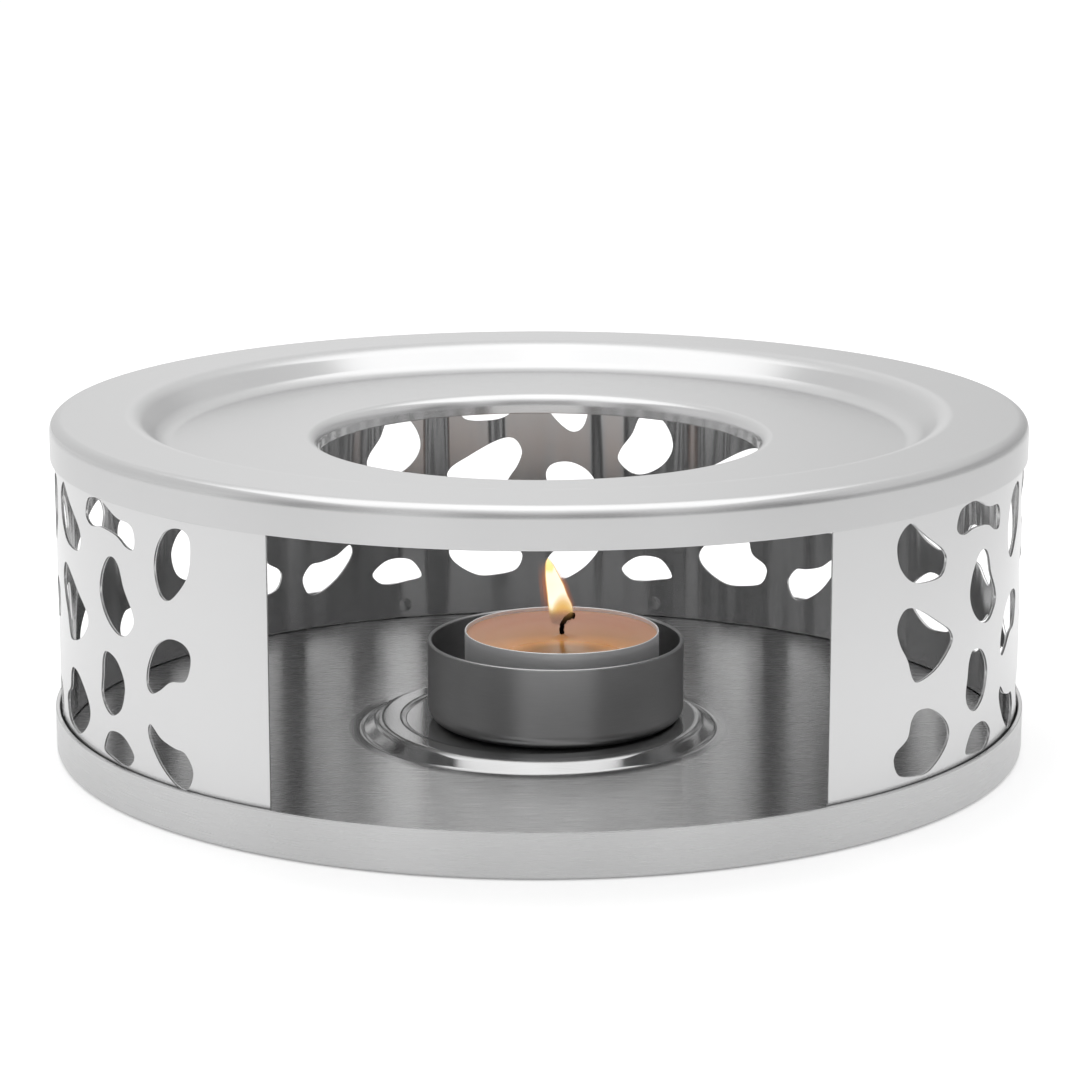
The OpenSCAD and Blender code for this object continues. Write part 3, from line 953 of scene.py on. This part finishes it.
floor_finish, tree, bsdf = new_finish("white_floor")
bsdf.inputs["Base Color"].default_value = (0.93, 0.93, 0.93, 1)
bsdf.inputs["Roughness"].default_value = 0.9
bsdf.inputs["Specular IOR Level"].default_value = 0.0
seen = tree.nodes.new("ShaderNodeLightPath")
lift = tree.nodes.new("ShaderNodeMath")
lift.operation = "MULTIPLY_ADD"
place = tree.nodes.new("ShaderNodeNewGeometry")
across = tree.nodes.new("ShaderNodeSeparateXYZ")
tree.links.new(place.outputs["Position"], across.inputs[0])
tree.links.new(seen.outputs["Is Glossy Ray"], lift.inputs[0])
tree.links.new(tinted(tree, spread(tree, across.outputs["X"], 0.0, 1.0, -0.32, 0.28), greys(
    (0.0, 0.08), (0.36, 0.15), (0.80, 0.15), (1.0, 0.0))), lift.inputs[1])
tree.links.new(spread(tree, seen.outputs["Is Camera Ray"], 0.0, 0.31, 0.0, 1.0), lift.inputs[2])
tree.links.new(lift.outputs["Value"], bsdf.inputs["Emission Strength"])
bsdf.inputs["Emission Color"].default_value = (1, 1, 1, 1)
floor.data.materials.append(floor_finish)
print("finish:", floor_finish.name)

# %% [markdown]
# ## Studio
# Steel has no colour of its own to speak of: it shows the room. A photograph of a studio could be
# wrapped round the scene, but a few grey ramps do the same and can be read. Each ramp depends on
# where a ray looks. Low down on the camera's side there are darker and lighter panels, and the right
# is dimmer than the left. Higher up that evens out, overhead it is white, and the rear is a little
# brighter.

# %% Where a ray looks
room = bpy.data.worlds.new("white_room")
bpy.context.scene.world = room
room.use_nodes = True
tree = room.node_tree
background = tree.nodes["Background"]
look = tree.nodes.new("ShaderNodeTexCoord")
split = tree.nodes.new("ShaderNodeSeparateXYZ")
tree.links.new(look.outputs["Generated"], split.inputs[0])
level = tree.nodes.new("ShaderNodeVectorMath")
level.operation = "MULTIPLY"
level.inputs[1].default_value = (1, 1, 0)
tree.links.new(look.outputs["Generated"], level.inputs[0])
turn = tree.nodes.new("ShaderNodeVectorMath")
turn.operation = "NORMALIZE"
tree.links.new(level.outputs["Vector"], turn.inputs[0])
facing = tree.nodes.new("ShaderNodeSeparateXYZ")
tree.links.new(turn.outputs["Vector"], facing.inputs[0])
print("room:", room.name)

# %% How bright the room is there
panels = tinted(tree, spread(tree, facing.outputs["Y"], 1.0, 0.0, -1.0, 0.0), greys(
    (0.0, 0.95), (0.17, 0.95), (0.53, 0.46), (0.72, 0.68),
    (0.83, 0.92), (0.90, 0.86), (0.95, 0.55), (1.0, 0.48)))
overhead = spread(tree, split.outputs["Z"], 0.0, 1.0, 0.45, 0.75)
wall = tree.nodes.new("ShaderNodeMath")
wall.operation = "MAXIMUM"
tree.links.new(panels, wall.inputs[0])
tree.links.new(overhead, wall.inputs[1])
side = tinted(tree, spread(tree, split.outputs["X"], 0.0, 1.0, -0.5, 0.5), greys(
    (0.0, 0.86), (0.3, 0.87), (0.38, 0.91), (0.47, 0.96),
    (0.55, 0.93), (0.62, 0.80), (0.75, 0.70), (1.0, 0.56)))
upper_side = tree.nodes.new("ShaderNodeMath")
upper_side.operation = "MAXIMUM"
tree.links.new(side, upper_side.inputs[0])
tree.links.new(spread(tree, split.outputs["Z"], 0.0, 0.87, 0.15, 0.45), upper_side.inputs[1])
dim = tree.nodes.new("ShaderNodeMath")
dim.operation = "MULTIPLY"
tree.links.new(wall.outputs["Value"], dim.inputs[0])
tree.links.new(upper_side.outputs["Value"], dim.inputs[1])
rear = tree.nodes.new("ShaderNodeMath")
rear.operation = "MULTIPLY"
tree.links.new(dim.outputs["Value"], rear.inputs[0])
tree.links.new(spread(tree, split.outputs["Y"], 1.0, 1.2, 0.5, 1.0), rear.inputs[1])
tree.links.new(rear.outputs["Value"], background.inputs["Strength"])
background.inputs["Color"].default_value = (1, 1, 1, 1)
print(len(tree.nodes), "nodes make the room")

# %% [markdown]
# ## Lamp
# One large soft lamp hangs over the table, as a softbox does in a studio. A small lamp would draw
# hard spots on the brushed steel, and a sun lamp would draw one hard shadow.

# %% Soft lamp overhead
lamp = bpy.data.lights.new("overhead_softbox", "AREA")
lamp.shape = "RECTANGLE"
lamp.size, lamp.size_y = 1.2, 1.0
lamp.energy = 2.8
softbox = bpy.data.objects.new("overhead_softbox", lamp)
softbox.location = (-0.05, 0.05, 0.95)
bpy.context.scene.collection.objects.link(softbox)
print("lamp:", lamp.size, "by", lamp.size_y, "m,", round(lamp.energy, 1), "W")

# %% [markdown]
# ## Camera
# A long lens from a little above the rim, turned a touch to the left, sees a circle as a flat
# ellipse with almost parallel sides.

# %% Camera
azimuth, elevation, distance = math.radians(-1.35), math.radians(12.627), 0.63381
aim = Vector((0.000176, 0.0, 0.037738))
level_back = Vector((math.sin(azimuth), -math.cos(azimuth), 0.0))
back = level_back * math.cos(elevation) + Vector((0.0, 0.0, math.sin(elevation)))
lens = bpy.data.cameras.new("camera")
lens.lens, lens.sensor_width = 109.864, 36.0
camera = bpy.data.objects.new("camera", lens)
camera.location = aim + back * distance
camera.rotation_euler = back.to_track_quat("Z", "Y").to_euler()
bpy.context.scene.collection.objects.link(camera)
bpy.context.scene.camera = camera
bpy.context.scene.view_settings.view_transform = "Standard"
print("camera at", [round(v, 3) for v in camera.location])
